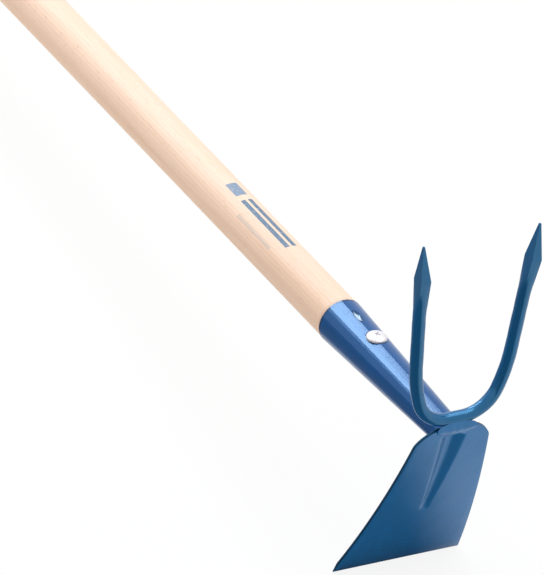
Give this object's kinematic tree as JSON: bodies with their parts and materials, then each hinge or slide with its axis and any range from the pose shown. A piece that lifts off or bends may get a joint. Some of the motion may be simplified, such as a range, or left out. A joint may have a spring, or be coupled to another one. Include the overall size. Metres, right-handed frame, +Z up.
{
  "type": "two-prong hoe",
  "caption": "Garden hoe head with a flared, grooved blade below and a pointed fork above, welded to a tapered socket on a round wooden shaft.",
  "frame": {"origin": "middle of the bottom of the box around the whole tool, on the ground it lies on", "axes": "+Y along the ground from the head towards the shaft's butt, +Z up, +X across the blade"},
  "size_m": [0.0892, 1.345, 0.2626],
  "materials": {
    "wood": "satin",
    "socket_paint": "gloss",
    "zinc": "satin",
    "blade_paint": "gloss",
    "fork_paint": "gloss",
    "weld_front_paint": "gloss",
    "weld_back_paint": "gloss"
  },
  "bodies": {
    "root": {"handle": "wood", "socket": "socket_paint", "handle_screw": "zinc", "blade": "blade_paint", "fork": "fork_paint", "weld_front": "weld_front_paint", "weld_back": "weld_back_paint"}
  },
  "joints": []
}
